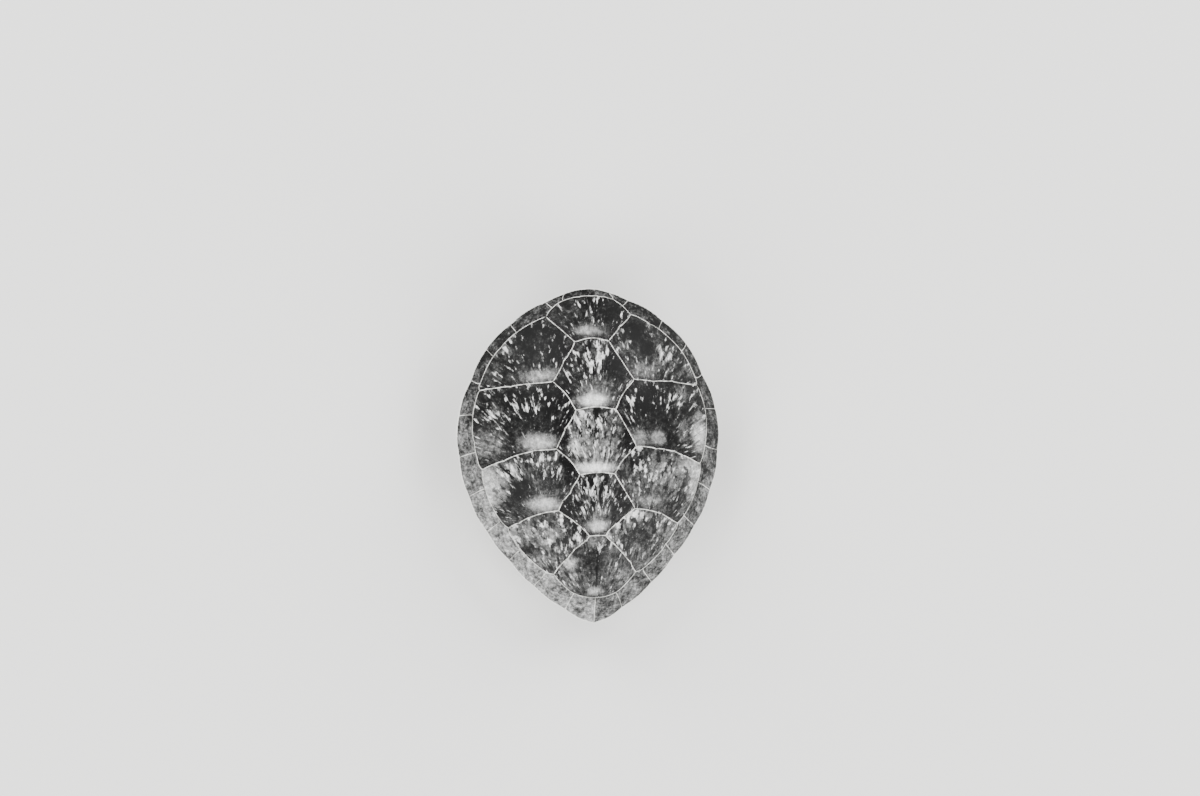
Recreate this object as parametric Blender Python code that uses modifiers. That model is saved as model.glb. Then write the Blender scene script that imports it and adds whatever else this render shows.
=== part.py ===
"""The shell of a young green sea turtle, without the animal.

A domed bony carapace wears 38 horny scutes, and the bony plastron under it wears 20 more.
x is the animal's right, y is towards its head and z is up. The tables are in millimetres,
and every mesh is turned to metres as it is made.
"""

import math

import bmesh
import bpy
import numpy as np
from mathutils import Vector

MM = 0.001

# Heights of the dome and of its rim, from the surface that the shell stands on.
CROWN = 163
KEEL, KEEL_WIDTH = 2, 9
RIM_SIDE, RIM_FRONT, RIM_REAR = 66, 98, 72
RIM_LEVEL = 60  # the rim is level from here in front of the middle to as far behind it
DOME_POWER = 2.5  # a parabola has 2, and more makes the sides steeper and the top flatter
FLARE = 0.12  # share of the dome's section that is a bell, which spreads at the rim
CENTRE = Vector((0, 30))  # the plan point under the crown

# The horn, the bone and the slits between pieces.
HORN = 1.8
BONE = 5
SEAM = 0.7
RIM_SEAM = 1.1  # wider where folded scutes meet, since their inner corners lean together
BEDDING, BELLY_BEDDING = 1.3, 2  # room between the horn and the bone under it
STEP = 15.6  # longest straight run along a seam of the carapace
BELLY_STEP = 24  # and of the plastron, which is nearly flat
RIM_EDGE = 6  # thickness of the rim, scutes and bone together
UNDER = 23  # how far a marginal scute reaches in under the rim
BRIDGE_DROP, FREE_DROP = 12, 4  # height of the rim over its scutes' inner ends
BRIDGE_FADE = 50  # the drop changes from one to the other over this length

# Where seams meet on the right half of the carapace. Letters a to q follow the inner line of the
# marginal scutes from the nuchal scute to the tail, and r to x lie between the larger scutes.
MEETS = {
    "a": (35.3, 208.2),
    "b": (48.2, 199.3),
    "c": (57.1, 187.1),
    "d": (95.4, 167.3),
    "e": (127.0, 136.6),
    "f": (146.5, 98.3),
    "g": (148.5, 91.0),
    "h": (157.1, 59.7),
    "i": (155.1, 8.9),
    "j": (148.0, -14.9),
    "k": (143.9, -37.6),
    "l": (123.4, -83.8),
    "m": (115.0, -93.1),
    "n": (98.3, -120.1),
    "o": (63.4, -152.5),
    "p": (56.0, -155.5),
    "q": (30.0, -181.8),
    "r": (21.8, 151.5),
    "s": (53.5, 99.0),
    "t": (25.7, 60.4),
    "u": (52.8, 10.9),
    "v": (22.4, -24.1),
    "w": (51.2, -70.6),
    "x": (9.6, -104.9),
}
# How far the middle of a seam leans from a straight line. A seam named by one letter crosses the
# midline to the same letter on the left.
LEANS = {
    "a": (0, 5),
    "r": (0, 5.5),
    "t": (0, 4.3),
    "v": (0, 3),
    "x": (0, 1),
    "q": (0, -5.6),
    "gs": (0, 1.5),
    "ju": (0, 6.5),
    "mw": (0, 5),
    "st": (-4, 1.5),
    "uv": (-4, 1.5),
    "wx": (-2.5, 0.5),
    "px": (1.5, 3),
}
LINE_CURVE = 1200  # the marginal line bows out by its length squared over this

# The outer ends of the marginal seams, on the rim, with the tail's tip last.
RIM = {
    "a": (29.0, 217.8),
    "b": (56.0, 206.5),
    "d": (102.3, 178.9),
    "e": (135.3, 147.2),
    "f": (156.0, 105.6),
    "h": (173.6, 59.7),
    "i": (174.2, 3.3),
    "k": (162.5, -49.5),
    "l": (139.9, -97.0),
    "n": (110.9, -136.0),
    "o": (80.5, -170.3),
    "q": (40.3, -202.0),
    "tail": (0.0, -223.5),
}
RIM_CURVE = 1000
NOSE, TAIL = 223, -223.5
TAIL_BOW = 4.5  # the two scutes over the tail are rounder than the rest of the rim

VERTEBRALS = ("abcr", "rst", "tuv", "vwx", "xpq")
COSTALS = ("cdefgsr", "ghijuts", "jklmwvu", "mnopxw")
MARGINALS = ("ab", "bcd", "de", "ef", "fgh", "hi", "ijk", "kl", "lmn", "no", "opq")

# The plastron: A to G run down the midline, and h to n round its right side.
BELLY = {
    "A": (0, 152),
    "B": (0, 128),
    "C": (0, 84),
    "D": (0, 32),
    "E": (0, -42),
    "F": (0, -102),
    "G": (0, -168),
    "h": (34, 145),
    "i": (86, 90),
    "j": (99, 76),
    "k": (105, 36),
    "l": (104, -38),
    "m": (93, -66),
    "n": (56, -100),
}
BELLY_LEANS = {
    "Ah": (3, 4),
    "hi": (11, 8),
    "ij": (-2, -2),
    "kl": (1.5, 0),
    "mn": (-4, 4),
    "nG": (10, -8),
    "kD": (0, 3),
    "lE": (0, -3),
}
BELLY_SCUTES = {
    "gular": "AhB",
    "humeral": "BhiC",
    "pectoral": "CijkD",
    "abdominal": "DklE",
    "femoral": "ElmnF",
    "anal": "FnG",
}
BELLY_FLAT = 48  # half-width of the flat middle
BELLY_TURN = 2.1  # how late the sides of the plastron turn up to the bridge
FRONT_LOBE, FRONT_RISE = 85, 26
REAR_LOBE, REAR_RISE = -75, 20
BRIDGE_Y = (84, 43, 4, -34, -69)  # seams between the inframarginal scutes, at the rim's end
BRIDGE_INNER = ((99, 76), (105, 36), (106, 0), (104, -38), (93, -66))

HEART = Vector((0, 0, 70))  # a point inside the shell, from which every outer face looks away

HORN_TOP = ("keratin_top", "5A5A58", 0.32)
HORN_RIM = ("keratin_rim", "8C8C88", 0.4)
HORN_BELLY = ("keratin_belly", "D6D3C8", 0.45)
BONE_FINISH = ("bone", "CFC8B6", 0.7)


def clear_scene():
    for thing in list(bpy.data.objects):
        bpy.data.objects.remove(thing)


def shell_collection():
    made = bpy.data.collections.new("turtle_shell")
    bpy.context.scene.collection.children.link(made)
    return made


def finish(name, colour, roughness):
    """The named material, made on first use."""
    found = bpy.data.materials.get(name)
    if found:
        return found
    made = bpy.data.materials.new(name)
    made.use_nodes = True
    shader = made.node_tree.nodes["Principled BSDF"]
    values = [int(colour[i : i + 2], 16) / 255 for i in (0, 2, 4)]
    shader.inputs["Base Color"].default_value = (*(v**2.2 for v in values), 1)
    shader.inputs["Roughness"].default_value = roughness
    shader.inputs["Metallic"].default_value = 0
    return made


def bowed(start, end, lean=(0, 0), count=0, step=STEP):
    """Plan points from start to end, the middle pushed over by lean."""
    start, end, lean = Vector(start), Vector(end), Vector(lean)
    count = count or math.ceil((end - start).length / step)
    shares = [i / count for i in range(count + 1)]
    return [start.lerp(end, t) + 4 * t * (1 - t) * lean for t in shares]


def outwards(start, end, curve):
    """The lean of an arc that bows away from the dome's centre."""
    start, end = Vector(start), Vector(end)
    return ((start + end) / 2 - CENTRE).normalized() * (end - start).length_squared / curve


def mirrored(points):
    return [Vector((-p.x, p.y)) for p in reversed(points)]


def rim_arc(start, end, count):
    """The outer edge of one marginal scute."""
    return bowed(RIM[start], RIM[end], outwards(RIM[start], RIM[end], RIM_CURVE), count)


def tail_arc(count):
    lean = (Vector(RIM["q"]) - CENTRE).normalized() * TAIL_BOW
    return bowed(RIM["q"], RIM["tail"], lean, count)


def nose_arc(count):
    """The front edge of the nuchal scute, left to right."""
    start = (-RIM["a"][0], RIM["a"][1])
    return bowed(start, RIM["a"], (0, NOSE - RIM["a"][1]), count)


def right_rim():
    """The whole right side of the rim, from the nuchal seam to the tail."""
    line = []
    for spec in MARGINALS:
        line += rim_arc(spec[0], spec[-1], 6)[:-1]
    return line + tail_arc(6)


RIGHT_RIM = right_rim()
RIM_POINTS = RIGHT_RIM + mirrored(RIGHT_RIM)[1:] + nose_arc(6)[1:-1]
RIM_ANGLES = [math.atan2(p.y - CENTRE.y, p.x) for p in RIM_POINTS]
RIM_RADII = [(p - CENTRE).length for p in RIM_POINTS]


def rim_radius(angle):
    return float(np.interp(angle, RIM_ANGLES, RIM_RADII, period=math.tau))


def rim_height(y):
    front = max(0, (y - RIM_LEVEL) / (NOSE - RIM_LEVEL)) ** 2
    rear = max(0, (-RIM_LEVEL - y) / (-RIM_LEVEL - TAIL)) ** 2
    return RIM_SIDE + (RIM_FRONT - RIM_SIDE) * front + (RIM_REAR - RIM_SIDE) * rear


def lip_height(y):
    """Height of the inner ends of the marginal scutes, which reach lowest over the bridge."""
    free = min(1, max(0, (abs(y) - RIM_LEVEL) / BRIDGE_FADE))
    return rim_height(y) - BRIDGE_DROP - (FREE_DROP - BRIDGE_DROP) * free


def dome(point):
    """The point of the carapace's outer surface over a plan point."""
    arm = point - CENTRE
    angle = math.atan2(arm.y, arm.x)
    radius = rim_radius(angle)
    out = arm.length / radius
    rim = rim_height(CENTRE.y + radius * math.sin(angle))
    bell = (1 + math.cos(math.pi * out)) / 2
    swell = (1 - FLARE) * (1 - out**DOME_POWER) + FLARE * bell
    keel = KEEL * math.exp(-((point.x / KEEL_WIDTH) ** 2)) * (1 - out**2)
    return Vector((point.x, point.y, rim + (CROWN - rim) * swell + keel))


def raised(surface, point, height):
    """A point lifted off the dome or the belly surface along its upward normal."""
    along = surface(point + Vector((1, 0))) - surface(point - Vector((1, 0)))
    across = surface(point + Vector((0, 1))) - surface(point - Vector((0, 1)))
    return surface(point) + along.cross(across).normalized() * height


def drawn_in(point, depth):
    """A plan point moved towards the dome's centre."""
    return point + (CENTRE - point).normalized() * depth


LIP = [drawn_in(p, UNDER) for p in reversed(RIGHT_RIM)]


def lip_x(y):
    """Half the distance between the inner ends of the left and right marginal scutes."""
    return max(100, float(np.interp(y, [p.y for p in LIP], [p.x for p in LIP])))


def belly(point):
    """The point of the plastron's outer surface under a plan point."""
    side = max(0, (abs(point.x) - BELLY_FLAT) / (lip_x(point.y) - BELLY_FLAT))
    front = max(0, (point.y - FRONT_LOBE) / (BELLY["A"][1] - FRONT_LOBE))
    rear = max(0, (REAR_LOBE - point.y) / (REAR_LOBE - BELLY["G"][1]))
    rise = lip_height(point.y) * side**BELLY_TURN
    return Vector((point.x, point.y, rise + FRONT_RISE * front**2 + REAR_RISE * rear**2))


def inset(outline, depth):
    """A plan outline with every side moved in by the depth."""
    area = sum(
        p.x * q.y - q.x * p.y for p, q in zip(outline, outline[1:] + outline[:1], strict=True)
    )
    turn = math.copysign(1, area)
    moved = []
    for i, point in enumerate(outline):
        before = (point - outline[i - 1]).normalized()
        after = (outline[(i + 1) % len(outline)] - point).normalized()
        normals = [Vector((-d.y, d.x)) * turn for d in (before, after)]
        middle = (normals[0] + normals[1]).normalized()
        moved.append(point + middle * depth / max(0.4, middle.dot(normals[0])))
    return moved


def build(name, bm, look, thickness):
    """An object from an open sheet in millimetres: faced outwards, then thickened inwards."""
    bm.normal_update()
    facing = sum(
        f.calc_area() * f.normal.dot(f.calc_center_median() - HEART) for f in bm.faces
    )
    if facing < 0:
        bmesh.ops.reverse_faces(bm, faces=bm.faces[:])
    bmesh.ops.scale(bm, vec=(MM, MM, MM), verts=bm.verts[:])
    mesh = bpy.data.meshes.new(name)
    bm.to_mesh(mesh)
    bm.free()
    mesh.shade_smooth()
    mesh.set_sharp_from_angle(angle=math.radians(35))
    mesh.materials.append(finish(*look))
    made = bpy.data.objects.new(name, mesh)
    SHELL.objects.link(made)
    if thickness:
        wall = made.modifiers.new("thickness", "SOLIDIFY")
        wall.thickness = thickness * MM
        wall.offset = -1
    return made


def plate(name, outline, place, look, rings, thickness=HORN, slit=SEAM / 2):
    """A plate inside a plan outline: rings drawn towards its middle, laid on a surface."""
    outline = inset(outline, slit)
    middle = sum(outline, Vector((0, 0))) / len(outline)
    bm = bmesh.new()
    face = bm.faces.new([bm.verts.new((*p, 0)) for p in outline])
    for share in rings:
        face = bmesh.ops.extrude_discrete_faces(bm, faces=[face])["faces"][0]
        for vert, point in zip(face.verts, outline, strict=True):
            vert.co = middle.lerp(point, share).to_3d()
    bmesh.ops.poke(bm, faces=[face])
    for vert in bm.verts:
        vert.co = place(vert.co.to_2d())
    return build(name, bm, look, thickness)


def strip(name, rows, look):
    """A scute laid as a grid, from rows of points of equal length, slit from its neighbours."""
    rows = [list(row) for row in rows]
    for row in rows:
        for end, inner in ((0, 1), (-1, -2)):
            row[end] = row[end] + (row[inner] - row[end]).normalized() * RIM_SEAM / 2
    for edge, inner in ((0, 1), (-1, -2)):
        pairs = zip(rows[edge], rows[inner], strict=True)
        rows[edge] = [p + (q - p).normalized() * SEAM / 2 for p, q in pairs]
    across, along = len(rows) - 1, len(rows[0]) - 1
    bm = bmesh.new()
    bmesh.ops.create_grid(bm, x_segments=along, y_segments=across, size=1)
    for vert in bm.verts:
        u, v = (vert.co.x + 1) / 2 * along, (vert.co.y + 1) / 2 * across
        vert.co = rows[round(v)][round(u)]
    return build(name, bm, look, HORN)


def seam(first, second):
    """The seam between two meeting points of the carapace."""
    start, end = MEETS[first], MEETS[second]
    if first <= "q" and second <= "q":
        return bowed(start, end, outwards(start, end, LINE_CURVE))
    lean = LEANS.get(first + second) or LEANS.get(second + first) or (0, 0)
    return bowed(start, end, lean)


def cross_seam(letter):
    """The seam from a meeting point to its mirror image, in an even number of runs."""
    x, y = MEETS[letter]
    count = 2 * math.ceil(x / STEP)
    return bowed((x, y), (-x, y), LEANS[letter], count)


def run(spec, step):
    """The seams through the meeting points that a word spells, without the last point."""
    line = []
    for first, second in zip(spec, spec[1:], strict=False):
        line += step(first, second)[:-1]
    return line


def whole_run(spec):
    return run(spec, seam) + [Vector(MEETS[spec[-1]])]


def vertebral_outline(spec):
    right = whole_run(spec)
    rear = cross_seam(spec[-1])[1:-1]
    front = [*reversed(cross_seam(spec[0]))][1:-1]
    return right + rear + mirrored(right) + front


def marginal_rows(inner, outer):
    """The folded section of a marginal scute at each station: over the rim and in beneath it."""
    edge = [p.to_3d() + Vector((0, 0, rim_height(p.y))) for p in outer]
    down = Vector((0, 0, RIM_EDGE))
    foot = [e + (drawn_in(p, 0.6) - p).to_3d() - down for p, e in zip(outer, edge, strict=True)]
    ends = [drawn_in(p, UNDER) for p in outer]
    tucked = [p.to_3d() + Vector((0, 0, lip_height(p.y))) for p in ends]
    middle = [dome(p.lerp(q, 0.5)) for p, q in zip(inner, outer, strict=True)]
    return [[dome(p) for p in inner], middle, edge, foot, tucked]


def flipped(rows):
    return [[Vector((-p.x, p.y, p.z)) for p in reversed(row)] for row in rows]


def both_sides(name, number, rows, look):
    """A strip on the right and its twin on the left."""
    tail = f"_{number}" if number else ""
    strip(f"{name}_right{tail}", rows, look)
    strip(f"{name}_left{tail}", flipped(rows), look)


def vertebral_scutes():
    for number, spec in enumerate(VERTEBRALS, 1):
        outline = vertebral_outline(spec)
        plate(f"vertebral_scute_{number}", outline, dome, HORN_TOP, (0.68, 0.34))


def costal_scutes():
    for number, spec in enumerate(COSTALS, 1):
        outline = run(spec + spec[0], seam)
        for side, line in (("right", outline), ("left", mirrored(outline))):
            plate(f"costal_scute_{side}_{number}", line, dome, HORN_TOP, (0.7, 0.38))


def marginal_scutes():
    for number, spec in enumerate(MARGINALS, 1):
        inner = whole_run(spec)
        outer = rim_arc(spec[0], spec[-1], len(inner) - 1)
        both_sides("marginal_scute", number, marginal_rows(inner, outer), HORN_RIM)


def nuchal_scute():
    inner = [*reversed(cross_seam("a"))]
    outer = nose_arc(len(inner) - 1)
    strip("nuchal_scute", marginal_rows(inner, outer), HORN_RIM)


def supracaudal_scutes():
    whole = cross_seam("q")
    inner = whole[: len(whole) // 2 + 1]
    outer = tail_arc(len(inner) - 1)
    both_sides("supracaudal_scute", None, marginal_rows(inner, outer), HORN_RIM)


def bony_carapace():
    """One closed body: a ball whose rings become the dome, the rim's wedge and the inner vault."""
    depth = HORN + BEDDING
    vault = depth + BONE

    def crown_ring(out, sunk):
        return lambda centre, arm, radius: raised(dome, centre + arm * radius * out, -sunk)

    def tip_ring(centre, arm, radius):
        edge = centre + arm * radius
        return (centre + arm * (radius - 6)).to_3d() + Vector((0, 0, rim_height(edge.y) - 2.2))

    def lip_ring(centre, arm, radius):
        lip = centre + arm * (radius - UNDER)
        return lip.to_3d() + Vector((0, 0, lip_height(lip.y) + depth + 0.8))

    def wall_ring(centre, arm, radius):
        return raised(dome, centre + arm * (radius - UNDER - 8), -vault)

    outside = [crown_ring(out, depth) for out in (0, 0.2, 0.4, 0.6, 0.8, 0.91)]
    inside = [crown_ring(out, vault) for out in (0.64, 0.42, 0.2, 0)]
    rings = [*outside, tip_ring, lip_ring, wall_ring, *inside]
    spine = Vector((0, 0, 9))
    bm = bmesh.new()
    bmesh.ops.create_uvsphere(bm, u_segments=48, v_segments=len(rings) - 1, radius=1)
    for vert in bm.verts:
        level = round(math.acos(max(-1, min(1, vert.co.z))) / math.pi * (len(rings) - 1))
        angle = math.atan2(vert.co.y, vert.co.x)
        radius = rim_radius(angle)
        vert.co = rings[level](CENTRE, Vector((math.cos(angle), math.sin(angle))), radius)
        if level > len(rings) - len(inside) - 1 and abs(vert.co.x) < 0.5:
            vert.co -= spine
    return build("bony_carapace", bm, BONE_FINISH, 0)


def belly_seam(first, second):
    lean = BELLY_LEANS.get(first + second) or BELLY_LEANS.get(second + first) or (0, 0)
    return bowed(BELLY[first], BELLY[second], lean, step=BELLY_STEP)


def plastron_scutes():
    for name, spec in BELLY_SCUTES.items():
        outline = run(spec + spec[0], belly_seam)
        for side, line in (("right", outline), ("left", mirrored(outline))):
            plate(f"{name}_scute_{side}", line, belly, HORN_BELLY, (0.7, 0.36))


def inframarginal_scutes():
    outer = [Vector((lip_x(y), y)) for y in BRIDGE_Y]
    inner = [Vector(p) for p in BRIDGE_INNER]
    for i in range(4):
        near, far = bowed(inner[i], inner[i + 1], count=2), bowed(outer[i], outer[i + 1], count=2)
        far[1].x = lip_x(far[1].y)
        rows = [[belly(p.lerp(q, t)) for p, q in zip(near, far)] for t in (0, 0.35, 0.7, 1)]
        both_sides("inframarginal_scute", i + 1, rows, HORN_BELLY)


def bony_plastron():
    """The belly's bony plate, with an arm out along each bridge."""
    reach = 3
    arms = [Vector((lip_x(y) - reach, y)) for y in BRIDGE_Y]
    front, rear = run("Ahij", belly_seam), run("mnG", belly_seam)
    right = [*front, Vector(BELLY["j"]), *arms, *rear, Vector(BELLY["G"])]
    outline = right + mirrored(right)[1:-1]

    def lifted(point):
        return raised(belly, point, HORN + BELLY_BEDDING)

    rings = (0.84, 0.66, 0.36)
    plate("bony_plastron", outline, lifted, BONE_FINISH, rings, BONE, slit=1.5)


clear_scene()
SHELL = shell_collection()
vertebral_scutes()
costal_scutes()
marginal_scutes()
nuchal_scute()
supracaudal_scutes()
bony_carapace()
plastron_scutes()
inframarginal_scutes()
bony_plastron()
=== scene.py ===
"""The looks of a young green sea turtle's shell: horn laid over bone, seen from above."""

import math

import bmesh
import bpy
import numpy as np
from mathutils import Matrix, Vector, kdtree, noise


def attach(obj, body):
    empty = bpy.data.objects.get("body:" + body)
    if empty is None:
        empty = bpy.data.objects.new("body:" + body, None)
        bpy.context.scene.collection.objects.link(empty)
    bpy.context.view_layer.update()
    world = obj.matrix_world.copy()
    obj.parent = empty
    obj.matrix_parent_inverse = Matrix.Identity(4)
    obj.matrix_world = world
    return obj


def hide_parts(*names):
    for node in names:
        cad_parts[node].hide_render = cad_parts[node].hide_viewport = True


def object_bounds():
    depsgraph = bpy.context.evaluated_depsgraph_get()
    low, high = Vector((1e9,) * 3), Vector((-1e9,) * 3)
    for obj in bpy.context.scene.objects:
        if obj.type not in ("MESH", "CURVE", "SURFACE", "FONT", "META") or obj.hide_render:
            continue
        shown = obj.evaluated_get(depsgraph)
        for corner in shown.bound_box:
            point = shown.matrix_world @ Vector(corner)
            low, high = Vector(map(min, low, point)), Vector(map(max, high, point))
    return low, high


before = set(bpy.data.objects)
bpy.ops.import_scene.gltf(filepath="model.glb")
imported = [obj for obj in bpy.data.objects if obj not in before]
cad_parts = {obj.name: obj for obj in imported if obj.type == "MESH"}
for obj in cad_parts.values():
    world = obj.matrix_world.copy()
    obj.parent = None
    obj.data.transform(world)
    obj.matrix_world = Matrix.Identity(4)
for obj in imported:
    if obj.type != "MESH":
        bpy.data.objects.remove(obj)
cad_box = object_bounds()

# The horn sheet of the carapace.
# A green turtle's carapace wears 38 thin plates of keratin, the scutes, which meet edge to edge.
# They are raised as one sheet from the outer faces of the CAD scutes: the faces are welded along
# the seams, subdivided smooth, and parted into scutes again further down.
MM = 0.001
HORN = 1.8 * MM
WELD = 1.7 * MM  # wider than the slit between two CAD scutes, and narrower than any face
SAME = 0.01 * MM  # corners closer than this are one corner
WALL_CARE = 0.02 * MM  # how near to the horn's thickness an edge of a wall is
HEART = Vector((0, 0, 70 * MM))  # inside the shell: every outer face looks away from it
TOP_SCUTES = sorted(
    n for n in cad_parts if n.startswith(("vertebral", "costal", "marginal", "nuchal", "supra"))
)


def only(*things):
    """Select these objects and nothing else, with the first one active."""
    bpy.ops.object.select_all(action="DESELECT")
    for thing in things:
        thing.select_set(True)
    bpy.context.view_layer.objects.active = things[0]


def edit(thing):
    """Open an object in edit mode with its whole mesh selected."""
    only(thing)
    bpy.ops.object.mode_set(mode="EDIT")
    bpy.ops.mesh.select_all(action="SELECT")
    return bmesh.from_edit_mesh(thing.data)


def leave(thing):
    """Write the open mesh back and close it."""
    bmesh.update_edit_mesh(thing.data)
    bpy.ops.object.mode_set(mode="OBJECT")


def islands(bm):
    """The groups of faces that hang together."""
    left = set(bm.faces)
    while left:
        group, fresh = set(), [left.pop()]
        while fresh:
            face = fresh.pop()
            group.add(face)
            near = {f for e in face.edges for f in e.link_faces} & left
            left -= near
            fresh += near
        yield group


def outer_sheet(node):
    """A copy of a CAD plate cut down to its outer sheet. Walls have edges as long as the horn is thick."""
    sheet = bpy.data.objects.new(f"{node}_sheet", bpy.data.objects[node].data.copy())
    bpy.context.scene.collection.objects.link(sheet)
    sheet.data.materials.clear()
    sheet.data.materials.append(bpy.data.materials.new(f"{node}_mark"))
    bm = edit(sheet)
    bpy.ops.mesh.remove_doubles(threshold=SAME)
    for face in bm.faces:
        face.select_set(any(abs(e.calc_length() - HORN) < WALL_CARE for e in face.edges))
    bpy.ops.mesh.delete(type="FACE")
    bm = bmesh.from_edit_mesh(sheet.data)
    for group in list(islands(bm)):
        facing = sum(f.calc_area() * f.normal.dot(f.calc_center_median() - HEART) for f in group)
        for face in group:
            face.select_set(facing < 0)
    bpy.ops.mesh.delete(type="FACE")
    leave(sheet)
    return sheet


def apply(thing, kind, **settings):
    """Add a modifier and apply it."""
    only(thing)
    made = thing.modifiers.new(kind.lower(), kind)
    for key, value in settings.items():
        setattr(made, key, value)
    bpy.ops.object.modifier_apply(modifier=made.name)


def pair_triangles():
    """Join the CAD's triangles into quads again, never across a seam."""
    flat, square = math.radians(40), math.radians(70)
    bpy.ops.mesh.tris_convert_to_quads(face_threshold=flat, shape_threshold=square, materials=True)


def horn_sheet(nodes, weld):
    """One sheet welded from the outer faces of these plates, each face marked with its plate."""
    sheets = [outer_sheet(node) for node in nodes]
    only(*sheets)
    bpy.ops.object.join()
    sheet = bpy.context.object
    edit(sheet)
    bpy.ops.mesh.remove_doubles(threshold=weld)
    pair_triangles()
    leave(sheet)
    return sheet


carapace_sheet = horn_sheet(TOP_SCUTES, WELD)
RIM_CREASE = 0.35  # keeps the shell's edge as narrow as a finger's, where the horn folds under
RIM_SLOPE = 0.35  # the rise of a normal on the faces that stand at the shell's edge
TAIL_CREASE, TAIL_END = 0.6, 1.5 * MM  # keeps the tail end pointed
bm = edit(carapace_sheet)
crease = bm.edges.layers.float.new("crease_edge")
standing = {f for f in bm.faces if abs(f.normal.z) < RIM_SLOPE}
for edge in bm.edges:
    edge[crease] = RIM_CREASE * (len(standing.intersection(edge.link_faces)) == 1)
point_crease = bm.verts.layers.float.new("crease_vert")
for vert in bm.verts:
    vert[point_crease] = TAIL_CREASE * (vert.co.y < cad_box[0][1] + TAIL_END)
leave(carapace_sheet)
apply(carapace_sheet, "SUBSURF", levels=3, render_levels=3)

# The dome's even curve.
# Horn grows on the bone under it, so the large scutes share one smooth curve. A polynomial is fitted
# to the sheet's heights, with a bell across the midline for the low keel, and the sheet is brought
# onto it, fading out towards the marginal scutes.
CURVE_DEGREE = 8
SCALE = 200 * MM  # keeps the powers near 1
KEEL_WIDTH, KEEL_SHARE = 9 * MM, 0.6  # the keel is lower than the bone's own
FADE = (6 * MM, 30 * MM)  # from the marginal scutes' inner seam


def within(number):
    """The number, held between 0 and 1."""
    return min(1, max(0, number))


def search_tree(points):
    """A tree that finds the nearest of these points."""
    tree = kdtree.KDTree(len(points))
    for i, point in enumerate(points):
        tree.insert(point, i)
    tree.balance()
    return tree


def curve_terms(x, y, keel_share=1):
    """One column for each even power of x times a power of y, and three for the keel."""
    u, v = x / SCALE, y / SCALE
    powers = [(i, j) for i in range(0, CURVE_DEGREE + 1, 2) for j in range(CURVE_DEGREE + 1 - i)]
    keel = keel_share * np.exp(-((x / KEEL_WIDTH) ** 2))
    return np.stack([u**i * v**j for i, j in powers] + [keel * v**j for j in range(3)], axis=1)


mesh = carapace_sheet.data
places = np.array([v.co for v in mesh.vertices])
marks = [m.name for m in mesh.materials]
rim_verts = {
    v
    for p in mesh.polygons
    if not marks[p.material_index].startswith(("vertebral", "costal"))
    for v in p.vertices
}
rim_tree = search_tree([mesh.vertices[i].co for i in rim_verts])
inner = [i for i in range(len(places)) if i not in rim_verts]
terms = curve_terms(places[inner, 0], places[inner, 1])
curve = np.linalg.lstsq(terms, places[inner, 2], rcond=None)[0]
smooth = curve_terms(places[inner, 0], places[inner, 1], KEEL_SHARE) @ curve
for i, height in zip(inner, smooth, strict=True):
    gap = rim_tree.find(mesh.vertices[i].co)[2]
    share = within((gap - FADE[0]) / (FADE[1] - FADE[0]))
    share = share * share * (3 - 2 * share)  # eased at both ends
    mesh.vertices[i].co.z += share * (float(height) - mesh.vertices[i].co.z)

# The scutes of the carapace.
# Each scute is a plate of horn under 2 mm thick. Its edges lie a little lower than its face, so the
# seams are shallow pale grooves. Fine ridges run out from the oldest part of each large scute, and
# faint steps of growth follow its edges.
SEAM = (0.45 * MM, 0.7 * MM)  # two rows inside the edge carry the groove and its pale colour
RIM_SEAM = (0.35 * MM, 0.5 * MM)  # narrower on the marginal scutes
GROOVE = 0.55  # mm, as are the depths and widths below
PILLOW, PILLOW_WIDTH = 0.5, 7
RIDGE, RIDGE_START = 0.16, 4
STEP, STEP_WIDTH, STEP_FADE = 0.1, 5, 18
SWELL, SWELL_WIDTH = 0.35, 45
SHARP = math.radians(40)  # an edge sharper than this isn't shaded smooth
STREAKS = 13  # streaks to a radian of the fan
STREAK_LENGTH = 17  # mm


def part_off(sheet, number, name):
    """One plate of the sheet, as its own object."""
    piece = bpy.data.objects.new(name, sheet.data.copy())
    bpy.context.scene.collection.objects.link(piece)
    bm = edit(piece)
    for face in bm.faces:
        face.select_set(face.material_index != number)
    bpy.ops.mesh.delete(type="FACE")
    leave(piece)
    piece.data.materials.clear()
    return piece


def edge_tree(piece):
    """A search tree of points along the open edge of a sheet."""
    bm = bmesh.new()
    bm.from_mesh(piece.data)
    points = []
    for edge in bm.edges:
        if edge.is_boundary:
            a, b = edge.verts[0].co, edge.verts[1].co
            points += [a.lerp(b, i / 4) for i in range(4)]
    bm.free()
    return search_tree(points)


def seam_rows(piece, rows):
    """Two narrow rows of faces along the edge of the sheet."""
    edit(piece)
    for width in (rows[0], rows[1] - rows[0]):
        bpy.ops.mesh.inset(thickness=width, use_boundary=True, use_even_offset=True)
    leave(piece)


def give(piece, name, values):
    """Store one number, or one vector, for each vertex."""
    kind = "FLOAT_VECTOR" if np.ndim(values) == 2 else "FLOAT"
    made = piece.data.attributes.new(name, kind, "POINT")
    made.data.foreach_set("vector" if kind == "FLOAT_VECTOR" else "value", np.ravel(values))


def fan(point, origin, start):
    """Coordinates in a fan of rays: the ray's direction, and the way along it from a start."""
    arm = Vector((point.x, point.y)) / MM - origin
    way = arm.length
    arm = arm * STREAKS / max(way, 0.001)
    return Vector((arm.x, arm.y, start + way / STREAK_LENGTH))


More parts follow.
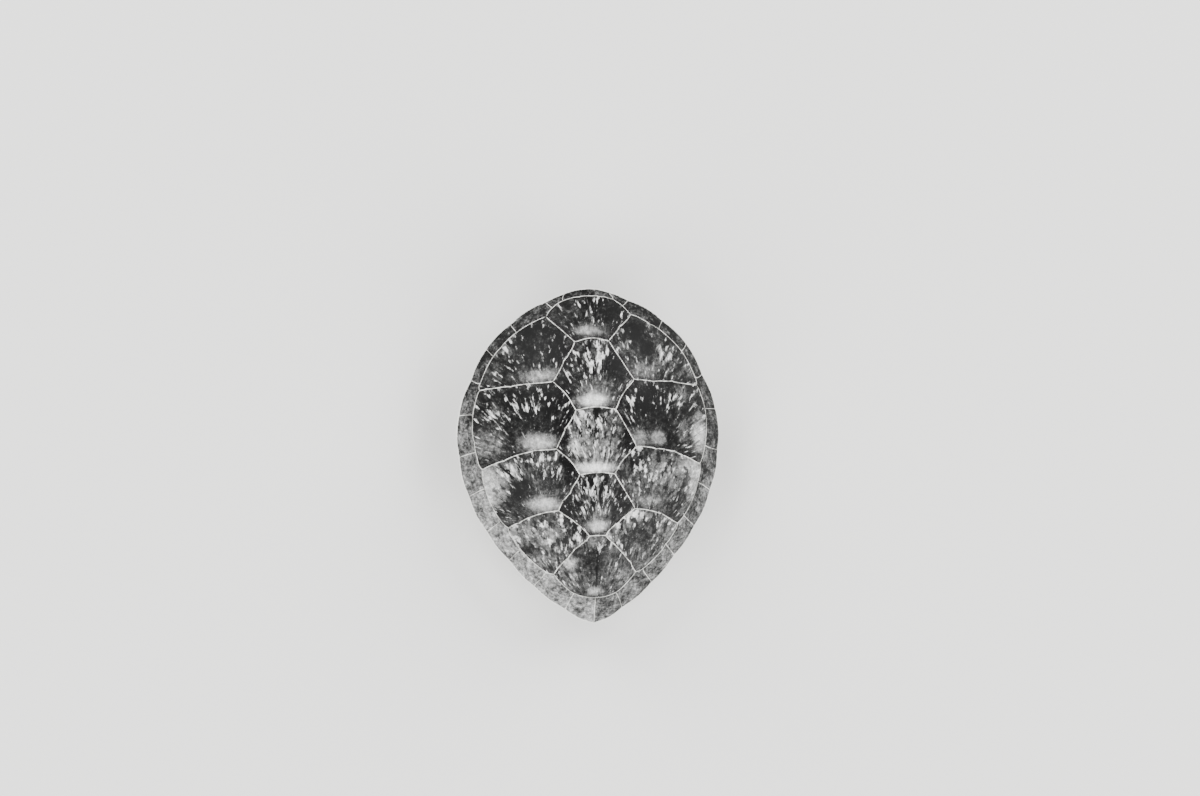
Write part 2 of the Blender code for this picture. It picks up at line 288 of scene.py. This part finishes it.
def shape_plate(piece, origin, start, rows=SEAM, ridge=RIDGE):
    """Groove, pillow, ridges and steps of growth, pressed in from the sheet's own face."""
    tree = edge_tree(piece)
    seam_rows(piece, rows)
    verts = piece.data.vertices
    normals = [v.normal.copy() for v in verts]
    gaps = [tree.find(v.co)[2] / MM for v in verts]
    for vert, normal, gap in zip(verts, normals, gaps, strict=True):
        ray = fan(vert.co, origin, start)
        depth = GROOVE * within(1 - gap * MM / rows[1])
        depth += PILLOW * math.exp(-gap / PILLOW_WIDTH)
        depth += ridge * (1 + noise.noise(ray)) * within(gap / RIDGE_START)
        depth += STEP * (1 + math.sin(gap * math.tau / STEP_WIDTH)) / 2 * math.exp(-gap / STEP_FADE)
        depth += SWELL * (1 + noise.noise(vert.co / (SWELL_WIDTH * MM))) / 2
        vert.co -= normal * depth * MM
    give(piece, "seam", [float(gap * MM < (rows[0] + rows[1]) / 2) for gap in gaps])
    give(piece, "ray", np.array([fan(v.co, origin, start) for v in verts]))
    apply(piece, "SOLIDIFY", thickness=HORN, offset=-1)
    only(piece)
    bpy.ops.object.shade_smooth_by_angle(angle=SHARP)


pieces = {}
for number, slot in enumerate(carapace_sheet.data.materials):
    node = slot.name.removesuffix("_mark")
    pieces[node] = part_off(carapace_sheet, number, f"{node}_horn")
bpy.data.objects.remove(carapace_sheet)

# The markings of the large scutes.
# A scute's horn is clearest over its oldest part, a pale glow by its rear edge, and streaks and pale
# flecks fan out from there. Their tone and density are laid on in soft oval washes. A scute has its
# fan's origin, its ground (tone, flecks) and its washes (x, y, half-width, half-length, tone, flecks).
# The pale washes far out on the lateral slopes of the costal scutes are partly the horn's own tone and
# partly painted sheen, standing in for the light that those slopes catch.
MARKINGS = {
    "vertebral_scute_1": ((2, 120), (0.18, 0.5), (
        (-25, 190, 22, 14, 0.24, 0.3),
        (4, 203, 18, 8, 0.12, 0.7),
        (30, 188, 16, 16, 0.06, 0.2),
        (14, 163, 12, 7, 0.4, 0.2),
        (-6, 166, 17, 9, 0.64, 0.1),
    )),
    "vertebral_scute_2": ((0, 35), (0.22, 0.55), (
        (0, 125, 26, 24, 0.28, 0.85),
        (30, 112, 14, 22, 0.05, 0.2),
        (-36, 88, 12, 18, 0.1, 0.3),
        (0, 88, 30, 15, 0.42, 0.25),
        (-3, 73, 22, 10, 0.88, 0.05),
    )),
    "vertebral_scute_3": ((0, -60), (0.3, 0.6), (
        (-45, 30, 10, 20, 0.1, 0.3),
        (40, 22, 10, 22, 0.1, 0.3),
        (-15, 40, 24, 22, 0.4, 0.9),
        (0, 8, 28, 26, 0.5, 0.55),
        (-28, 12, 8, 14, 0.75, 0.6),
        (-3, -15, 27, 8, 0.95, 0.1),
    )),
    "vertebral_scute_4": ((0, -130), (0.22, 0.6), (
        (0, -42, 24, 18, 0.3, 0.85),
        (-42, -68, 14, 12, 0.08, 0.2),
        (28, -72, 16, 14, 0.2, 0.3),
        (0, -76, 14, 12, 0.45, 0.4),
        (0, -92, 15, 8, 0.82, 0.1),
        (0, -55, 1.6, 28, 0.6, 0.4),
    )),
    "vertebral_scute_5": ((0, -220), (0.32, 0.4), (
        (-5, -140, 14, 16, 0.2, 0.15),
        (34, -158, 12, 12, 0.5, 0.4),
        (-26, -163, 14, 10, 0.42, 0.4),
        (-37, -140, 10, 9, 0.75, 0.5),
        (0, -112, 12, 8, 0.5, 0.5),
        (-2, -178, 9, 6, 0.75, 0.3),
        (0, -145, 1.6, 26, 0.12, 0.0),
    )),
    "costal_scute_left_1": ((-60, 45), (0.2, 0.5), (
        (-130, 112, 16, 16, 0.28, 0.4),
        (-75, 167, 20, 14, 0.05, 0.5),
        (-48, 147, 13, 20, 0.04, 0.35),
        (-112, 147, 16, 16, 0.34, 1.0),
        (-84, 138, 22, 18, 0.13, 0.1),
        (-100, 108, 14, 10, 0.26, 0.2),
        (-70, 107, 24, 10, 0.64, 0.1),
    )),
    "costal_scute_left_2": ((-74, -10), (0.2, 0.45), (
        (-138, 20, 22, 20, 0.46, 0.25),
        (-78, 74, 44, 18, 0.03, 0.5),
        (-84, 68, 26, 9, 0.08, 0.95),
        (-134, 60, 18, 12, 0.35, 0.95),
        (-42, 35, 12, 20, 0.05, 0.5),
        (-75, 43, 42, 8, 0.14, 0.2),
        (-107, 22, 7, 14, 0.12, 0.1),
        (-76, 20, 26, 12, 0.7, 0.06),
    )),
    "costal_scute_left_3": ((-66, -95), (0.25, 0.5), (
        (-140, -38, 22, 34, 0.74, 0.4),
        (-40, -12, 13, 18, 0.05, 0.4),
        (-80, -6, 16, 12, 0.28, 0.7),
        (-110, -18, 14, 12, 0.6, 1.0),
        (-50, -20, 8, 12, 0.3, 0.9),
        (-99, -48, 13, 22, 0.1, 0.1),
        (-68, -38, 18, 12, 0.28, 0.3),
        (-68, -61, 24, 11, 0.72, 0.06),
    )),
    "costal_scute_left_4": ((-30, -205), (0.3, 0.5), (
        (-112, -100, 14, 22, 0.66, 0.4),
        (-92, -98, 24, 16, 0.48, 0.75),
        (-32, -92, 10, 14, 0.12, 0.7),
        (-60, -108, 14, 13, 0.55, 0.6),
        (-85, -122, 18, 6, 0.2, 0.3),
        (-66, -136, 20, 9, 0.45, 0.4),
        (-24, -110, 8, 9, 0.35, 0.8),
    )),
    "costal_scute_right_1": ((62, 40), (0.22, 0.45), (
        (122, 112, 18, 14, 0.36, 0.5),
        (58, 163, 16, 16, 0.06, 0.3),
        (42, 146, 9, 14, 0.3, 0.7),
        (96, 130, 14, 18, 0.4, 0.8),
        (74, 140, 12, 16, 0.1, 0.15),
        (36, 108, 12, 12, 0.12, 0.3),
        (67, 111, 20, 12, 0.48, 0.15),
    )),
    "costal_scute_right_2": ((74, -10), (0.18, 0.4), (
        (68, 73, 36, 18, 0.04, 0.45),
        (108, 72, 14, 10, 0.3, 0.75),
        (122, 78, 12, 10, 0.42, 0.7),
        (46, 72, 8, 12, 0.2, 1.0),
        (84, 42, 32, 9, 0.15, 0.1),
        (120, 30, 9, 18, 0.42, 0.2),
        (57, 22, 13, 12, 0.55, 0.08),
        (83, 22, 13, 12, 0.55, 0.08),
        (100, 20, 5, 15, 0.1, 0.05),
        (145, 26, 13, 28, 0.78, 0.3),
    )),
    "costal_scute_right_3": ((60, -135), (0.3, 0.4), (
        (100, -25, 28, 22, 0.5, 0.6),
        (134, -28, 15, 40, 0.66, 0.4),
        (52, -12, 12, 14, 0.14, 0.6),
        (60, -42, 20, 14, 0.34, 0.5),
        (72, -61, 22, 8, 0.5, 0.2),
    )),
    "costal_scute_right_4": ((40, -190), (0.38, 0.5), (
        (108, -104, 13, 24, 0.5, 0.4),
        (60, -106, 20, 15, 0.24, 0.2),
        (58, -79, 12, 7, 0.6, 1.0),
        (31, -96, 8, 11, 0.4, 0.9),
        (72, -134, 20, 8, 0.36, 0.4),
    )),
}


def washes(point, ground, ovals):
    """Tone and flecks at a point: the ground, with each oval laid over what came before."""
    tone, flecks = ground
    for x, y, wide, long, oval_tone, oval_flecks in ovals:
        far = ((point.x / MM - x) / wide) ** 2 + ((point.y / MM - y) / long) ** 2
        share = math.exp(-(far**1.5))
        tone += share * (oval_tone - tone)
        flecks += share * (oval_flecks - flecks)
    return tone, flecks


def paint_plate(piece, origin, ground, ovals):
    """Tone and flecks for each vertex. The flecks fade out towards the fan's origin."""
    both = [washes(v.co, ground, ovals) for v in piece.data.vertices]
    ways = [(v.co.to_2d() / MM - origin).length for v in piece.data.vertices]
    fades = [within((way - NO_FLECKS) / (ALL_FLECKS - NO_FLECKS)) for way in ways]
    give(piece, "tone", [tone for tone, _ in both])
    give(piece, "flecks", [flecks * fade for (_, flecks), fade in zip(both, fades, strict=True)])


def linear(colour):
    """An sRGB hex colour as linear red, green, blue and alpha."""
    shares = [int(colour[i : i + 2], 16) / 255 for i in (0, 2, 4)]
    return (*(c / 12.92 if c <= 0.04045 else ((c + 0.055) / 1.055) ** 2.4 for c in shares), 1)


def add_node(tree, kind, inputs=(), **settings):
    """A node with its settings, its inputs each given a value or a socket to read."""
    made = tree.nodes.new(kind)
    for key, value in settings.items():
        setattr(made, key, value)
    for key, value in dict(inputs).items():
        if isinstance(value, bpy.types.NodeSocket):
            tree.links.new(value, made.inputs[key])
        else:
            made.inputs[key].default_value = value
    return made


def blend_colour(tree, share, first, second):
    """A Mix node of two colours, hex or sockets, and its result."""
    inputs = {0: share}
    for index, colour in ((6, first), (7, second)):
        inputs[index] = linear(colour) if isinstance(colour, str) else colour
    return add_node(tree, "ShaderNodeMix", inputs, data_type="RGBA").outputs[2]


def sum_up(tree, *parts):
    """Sockets added up, each times its own number."""
    total = None
    for socket, times in parts:
        inputs = {0: socket, 1: times, 2: 0.0 if total is None else total}
        total = add_node(tree, "ShaderNodeMath", inputs, operation="MULTIPLY_ADD").outputs[0]
    return total


def spread(tree, socket, low, high):
    """A soft step from 0 at low to 1 at high. High may be the smaller number."""
    inputs = {"Value": socket, "From Min": low, "From Max": high}
    return add_node(tree, "ShaderNodeMapRange", inputs, interpolation_type="SMOOTHSTEP").outputs[0]


def minus(tree, socket, number, clamped=True):
    """A socket less a number, held between 0 and 1 unless told otherwise."""
    inputs = {0: socket, 1: number}
    return add_node(tree, "ShaderNodeMath", inputs, operation="SUBTRACT", use_clamp=clamped).outputs[0]


def grain(tree, place, scale, detail=4.0, roughness=0.6):
    """Noise with about one grain to each 1 / scale."""
    inputs = {"Vector": place, "Scale": scale, "Detail": detail, "Roughness": roughness}
    return add_node(tree, "ShaderNodeTexNoise", inputs).outputs["Fac"]


def toned(tree, grey):
    """A shade of the horn from near black to near white, for a grey that the eye sees from 0 to 1."""
    share = add_node(tree, "ShaderNodeMath", {0: grey, 1: TONE_POWER}, operation="POWER").outputs[0]
    return blend_colour(tree, share, "030303", "FAFAF8")


def horn_material(name, attributes):
    """A new keratin material: its tree, its shader and the attributes that it reads."""
    made = bpy.data.materials.new(name)
    made.use_nodes = True
    tree = made.node_tree
    shader = tree.nodes["Principled BSDF"]
    shader.inputs["Roughness"].default_value = 0.5
    shader.inputs["IOR"].default_value = 1.54
    shader.inputs["Specular IOR Level"].default_value = 0.1
    reads = {"place": add_node(tree, "ShaderNodeTexCoord").outputs["Object"]}
    for attribute in attributes:
        found = add_node(tree, "ShaderNodeAttribute", attribute_name=attribute)
        reads[attribute] = found.outputs["Vector" if attribute == "ray" else "Fac"]
    return made, tree, shader, reads


def scute_horn():
    """Keratin with streaks of pigment in a fan: dark ground, pale streaks, paler seams."""
    made, tree, shader, reads = horn_material("keratin_streaked", ("tone", "flecks", "seam", "ray"))
    rays = grain(tree, reads["ray"], 0.8, 4.0, 0.65)
    fine_rays = grain(tree, reads["ray"], 2.4, 3.0, 0.65)
    mottle = grain(tree, reads["place"], 1 / (7 * MM), 5.0, 0.8)
    drops = grain(tree, reads["ray"], 1.5, 3.0, 0.6)  # its peaks are the pale flecks
    gaps = grain(tree, reads["ray"], 0.95, 3.0, 0.55)  # its hollows are the dark ones
    streaks = minus(tree, sum_up(tree, (rays, 0.9), (fine_rays, 0.5)), 0.7, False)
    inputs = {0: reads["flecks"], 1: 0.8, 2: 0.2}
    depth = add_node(tree, "ShaderNodeMath", inputs, operation="MULTIPLY_ADD")
    streaks = add_node(tree, "ShaderNodeMath", {0: streaks, 1: depth.outputs[0]}, operation="MULTIPLY")
    dust = spread(tree, grain(tree, reads["place"], 1 / (2.6 * MM), 2.0, 0.5), 0.54, 0.7)
    parts = (reads["tone"], 1.0), (streaks.outputs[0], 1.0), (mottle, 0.95), (dust, 0.1)
    grey = minus(tree, sum_up(tree, *parts), 0.49)
    dark = spread(tree, gaps, 0.47, 0.4)
    dark = add_node(tree, "ShaderNodeMath", {0: dark, 1: reads["flecks"]}, operation="MULTIPLY").outputs[0]
    grey = add_node(tree, "ShaderNodeMix", {0: dark, 2: grey, 3: 0.03}).outputs[0]
    bar = sum_up(tree, (drops, 1.0), (reads["flecks"], 0.2))
    fleck = spread(tree, bar, 0.64, 0.78)
    shine = sum_up(tree, (mottle, 0.9), (fine_rays, 0.8))
    grey = add_node(tree, "ShaderNodeMix", {0: fleck, 2: grey, 3: shine}).outputs[0]
    pale = blend_colour(tree, spread(tree, mottle, 0.35, 0.6), "868682", "EEEEEA")
    colour = blend_colour(tree, reads["seam"], toned(tree, grey), pale)
    tree.links.new(colour, shader.inputs["Base Color"])
    return made


TONE_POWER = 2.8  # turns a grey as the eye sees it into a share of light
NO_FLECKS, ALL_FLECKS = 20, 65  # mm from the fan's origin
FAN_GAP = 5  # sets the streaks of one scute apart from the next one's
SCUTE_HORN = scute_horn()
for start, (node, (origin, ground, ovals)) in enumerate(MARKINGS.items()):
    piece = pieces[node]
    shape_plate(piece, Vector(origin), FAN_GAP * start)
    paint_plate(piece, Vector(origin), ground, ovals)
    piece.data.materials.append(SCUTE_HORN)
    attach(piece, "root")
    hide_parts(node)

# The marginal scutes, with the nuchal scute in front and the two supracaudal scutes behind.
# They fold over the edge of the bone like a piping, so each is a plate bent through three sides.
# Their horn is finely speckled and darker towards the front, with a painted highlight along the shell's
# edge.
RIM_RIDGE = 0.08
HIGHLIGHT_WIDTH, HIGHLIGHT_SLOPE = 2.8 * MM, 0.45  # the painted highlight lies beside normals that rise less
FRONT_TONE, UNDER_TONE = 0.2, 0.85
TONE_START, TONE_LENGTH = 160 * MM, 240 * MM  # the horn grows paler over this length to the rear
LEFT_PALER, RIGHT_PALER = 0.34, 0.2
UNDER_SLOPE = 0.3  # horn that faces down more than this has the tone of the underside


def rim_tone(point, normal):
    """Grey in front, paler behind and most of all on the left, and pale below."""
    behind = within((TONE_START - point.y) / TONE_LENGTH)
    tone = FRONT_TONE + (LEFT_PALER if point.x < 0 else RIGHT_PALER) * behind
    below = within(-normal.z / UNDER_SLOPE)
    return tone + (UNDER_TONE - tone) * below


def paint_rim_highlight(piece):
    """A painted highlight: 1 on the standing edge of the shell, falling to 0 a little way in from it."""
    verts = piece.data.vertices
    tree = search_tree([v.co for v in verts if abs(v.normal.z) < HIGHLIGHT_SLOPE])
    give(piece, "line", [within(1 - tree.find(v.co)[2] / HIGHLIGHT_WIDTH) for v in verts])


def rim_horn():
    """Keratin with fine speckles, and a painted highlight where it turns over the edge."""
    made, tree, shader, reads = horn_material("keratin_speckled", ("tone", "line", "seam"))
    mottle = grain(tree, reads["place"], 1 / (16 * MM), 5.0, 0.7)
    speckle = grain(tree, reads["place"], 1 / (4 * MM), 3.0, 0.75)
    grey = minus(tree, sum_up(tree, (reads["tone"], 1.0), (mottle, 1.1), (speckle, 0.7)), 0.9)
    # the painted highlight along the standing rim, broken up by the speckles
    line = spread(tree, sum_up(tree, (reads["line"], 1.0), (speckle, 0.8)), 0.5, 1.0)
    pale = blend_colour(tree, spread(tree, mottle, 0.35, 0.6), "8E8E8A", "E8E8E4")
    # the painted highlight is a near-white grey, E0E0DC, laid over the horn
    highlighted_horn = blend_colour(tree, line, toned(tree, grey), "E0E0DC")
    colour = blend_colour(tree, reads["seam"], highlighted_horn, pale)
    tree.links.new(colour, shader.inputs["Base Color"])
    return made


RIM_HORN = rim_horn()
for node in [n for n in TOP_SCUTES if n not in MARKINGS]:
    piece = pieces[node]
    # the painted highlight on the rim of this scute
    paint_rim_highlight(piece)
    shape_plate(piece, Vector((0, 0)), 0, RIM_SEAM, RIM_RIDGE)
    give(piece, "tone", [rim_tone(v.co, v.normal) for v in piece.data.vertices])
    piece.data.materials.append(RIM_HORN)
    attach(piece, "root")
    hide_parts(node)

# The horn of the plastron.
# The belly's plate wears six pairs of pale scutes, and four smaller ones bridge each side to the
# marginal scutes. They are raised as a sheet like the carapace's. The belly's horn has hardly a
# marking, so it is a plain pale grey, faintly clouded.
BELLY_SCUTES = sorted(
    n
    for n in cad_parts
    if n.startswith(("gular", "humeral", "pectoral", "abdominal", "femoral", "anal", "infra"))
)
BELLY_WELD = 2.6 * MM
BELLY_RIDGE = 0.05
NARROW = 6 * MM  # points nearer than this are spread, so that no face is narrower than a seam's rows
RELAX = 8  # rounds of it
OLDEST = 0.8  # where a plate began to grow: this share of the way from the belly's middle to its own


def belly_horn():
    """Plain pale keratin, faintly clouded, with seams a little darker than the horn."""
    made, tree, shader, reads = horn_material("keratin_pale", ("seam", "ray"))
    cloud = grain(tree, reads["place"], 1 / (40 * MM), 4.0, 0.6)
    fine = grain(tree, reads["ray"], 2.0, 3.0, 0.6)
    grey = sum_up(tree, (cloud, 0.4), (fine, 0.25))
    horn = blend_colour(tree, spread(tree, grey, 0.2, 0.45), "A9A8A2", "E2E1DB")
    colour = blend_colour(tree, reads["seam"], horn, "8C8B86")
    tree.links.new(colour, shader.inputs["Base Color"])
    return made


BELLY_HORN = belly_horn()
belly_sheet = horn_sheet(BELLY_SCUTES, BELLY_WELD)
bm = edit(belly_sheet)
for vert in bm.verts:
    inside = len({f.material_index for f in vert.link_faces}) == 1 and not vert.is_boundary
    vert.select_set(inside and any(e.calc_length() < NARROW for e in vert.link_edges))
bm.select_flush_mode()
bpy.ops.mesh.vertices_smooth(factor=0.5, repeat=RELAX)
leave(belly_sheet)
apply(belly_sheet, "SUBSURF", levels=3, render_levels=3)
for number, slot in enumerate(belly_sheet.data.materials):
    node = slot.name.removesuffix("_mark")
    piece = part_off(belly_sheet, number, f"{node}_horn")
    middle = sum((v.co for v in piece.data.vertices), Vector()) / len(piece.data.vertices) / MM
    shape_plate(piece, middle.to_2d() * OLDEST, FAN_GAP * number, SEAM, BELLY_RIDGE)
    piece.data.materials.append(BELLY_HORN)
    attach(piece, "root")
    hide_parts(node)
    pieces[node] = piece
bpy.data.objects.remove(belly_sheet)

# The bone.
# Under the horn the carapace is one shell of bone, ribs that grew wide and fused on both sides of
# the backbone, and the plastron is another. Both are dry bone, pale, matt and porous. They are the
# CAD bodies subdivided, with the ribs raised a little inside the vault.
RIBS, RIB_GAP, RIB_FRONT = 8, 31 * MM, 120 * MM
RIB_WIDTH, RIB_HEIGHT = 7 * MM, 1.6 * MM
RIB_ENDS = (14 * MM, 125 * MM)  # from the midline
ROOT_FADE, TIP_FADE = 10 * MM, 30 * MM
PITS, PIT_WIDTH = 0.35 * MM, 6 * MM
VAULT_SLOPE = -0.2  # the inside of the vault faces down more than this
SPREAD = {"bony_carapace": 1.1 * MM, "bony_plastron": 1.5 * MM}  # out to the horn that lies on it
OUTSIDE = 0.4  # how far a face must look away from the heart to be spread in full


def bone():
    """Dry bone: chalky, with darker pores and a faint grain, rough all over."""
    made = bpy.data.materials.new("dry_bone")
    made.use_nodes = True
    tree = made.node_tree
    shader = tree.nodes["Principled BSDF"]
    place = add_node(tree, "ShaderNodeTexCoord").outputs["Object"]
    cloud = grain(tree, place, 1 / (25 * MM), 5.0, 0.65)
    inputs = {"Vector": place, "Scale": 1 / (2.2 * MM)}
    pores = add_node(tree, "ShaderNodeTexVoronoi", inputs).outputs["Distance"]
    ground = blend_colour(tree, spread(tree, cloud, 0.35, 0.65), "BDBCB8", "E6E5E1")
    colour = blend_colour(tree, spread(tree, pores, 0.28, 0.12), ground, "8F8E8A")
    tree.links.new(colour, shader.inputs["Base Color"])
    bump = add_node(tree, "ShaderNodeBump", {"Height": pores, "Distance": 0.3 * MM, "Strength": 0.6})
    tree.links.new(bump.outputs[0], shader.inputs["Normal"])
    shader.inputs["Roughness"].default_value = 0.8
    return made


def bone_piece(node, levels):
    """The CAD body as one welded mesh, subdivided smooth."""
    piece = bpy.data.objects.new(f"{node}_bone", bpy.data.objects[node].data.copy())
    bpy.context.scene.collection.objects.link(piece)
    piece.data.materials.clear()
    edit(piece)
    bpy.ops.mesh.remove_doubles(threshold=SAME)
    pair_triangles()
    leave(piece)
    apply(piece, "SUBSURF", levels=levels, render_levels=levels)
    normals = [v.normal.copy() for v in piece.data.vertices]
    for vert, normal in zip(piece.data.vertices, normals, strict=True):
        facing = normal.dot((vert.co - HEART).normalized())
        vert.co += normal * SPREAD[node] * within(facing / OUTSIDE)
    piece.data.materials.append(BONE)
    only(piece)
    bpy.ops.object.shade_smooth()
    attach(piece, "root")
    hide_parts(node)
    return piece


def rib(point):
    """Height of the ribs at a point of the vault."""
    nearest = round((RIB_FRONT - point.y) / RIB_GAP)
    if not 0 <= nearest < RIBS:
        return 0
    off = point.y - (RIB_FRONT - nearest * RIB_GAP)
    tip = within((RIB_ENDS[1] - abs(point.x)) / TIP_FADE)
    root = within((abs(point.x) - RIB_ENDS[0]) / ROOT_FADE)
    return RIB_HEIGHT * math.exp(-((off / RIB_WIDTH) ** 2)) * tip * root


BONE = bone()
carapace_bone = bone_piece("bony_carapace", 3)
bone_piece("bony_plastron", 2)
normals = [v.normal.copy() for v in carapace_bone.data.vertices]
for vert, normal in zip(carapace_bone.data.vertices, normals, strict=True):
    if normal.z < VAULT_SLOPE:
        vert.co += normal * (rib(vert.co) - PITS * noise.noise(vert.co / PIT_WIDTH))

# The floor, lights and camera.
# The shell lies on a plain pale floor in the soft light of four large lamps around it, dim enough
# above that its dark horn stays dark. The camera looks down on the back, a little turned.
FLOOR_SIZE, FLOOR_DROP = 12, 0.5 * MM
LAMPS, LAMPS_OUT, LAMPS_UP = (40, 130, 220, 310), 3.4, 2.3  # degrees, metres
LAMP_SIZE, LAMP_POWER = 2.6, 215  # metres, watts
SKY, SKY_STRENGTH = 0.8, 0.4
ROLL, YAW, PITCH = math.radians(-6.75), math.radians(-1.65), math.radians(0.2)
FAR, VIEW_WIDTH = 5, 1.5924  # distance, and how much of the floor's width shows
AIM = Vector((0, 0, 0.08))
SHIFT = (0.008225, 0.048567)  # shares of the view's width
SENSOR = 36  # mm

bpy.ops.mesh.primitive_plane_add(size=FLOOR_SIZE, location=(0, 0, -FLOOR_DROP))
floor = bpy.context.object
floor.name = "floor"
plain = bpy.data.materials.new("plain_floor")
plain.use_nodes = True
plain.node_tree.nodes["Principled BSDF"].inputs["Base Color"].default_value = linear("E6E6E4")
plain.node_tree.nodes["Principled BSDF"].inputs["Roughness"].default_value = 0.9
floor.data.materials.append(plain)

for around in LAMPS:
    turn = math.radians(around)
    place = Vector((LAMPS_OUT * math.cos(turn), LAMPS_OUT * math.sin(turn), LAMPS_UP))
    bpy.ops.object.light_add(type="AREA", location=place)
    lamp = bpy.context.object
    lamp.data.size = LAMP_SIZE
    lamp.data.energy = LAMP_POWER
    lamp.rotation_euler = place.to_track_quat("Z", "Y").to_euler()
world = bpy.data.worlds.new("studio")
bpy.context.scene.world = world
world.use_nodes = True
world.node_tree.nodes["Background"].inputs["Color"].default_value = (SKY, SKY, SKY, 1)
world.node_tree.nodes["Background"].inputs["Strength"].default_value = SKY_STRENGTH

bpy.ops.object.camera_add()
camera = bpy.context.object
turn = Matrix.Rotation(ROLL, 3, "Y") @ Matrix.Rotation(PITCH, 3, "X") @ Matrix.Rotation(YAW, 3, "Z")
camera.rotation_euler = turn.to_euler()
camera.location = AIM + turn.col[2] * FAR
camera.data.sensor_width = SENSOR
camera.data.lens = SENSOR * FAR / VIEW_WIDTH
camera.data.shift_x, camera.data.shift_y = SHIFT
bpy.context.scene.camera = camera
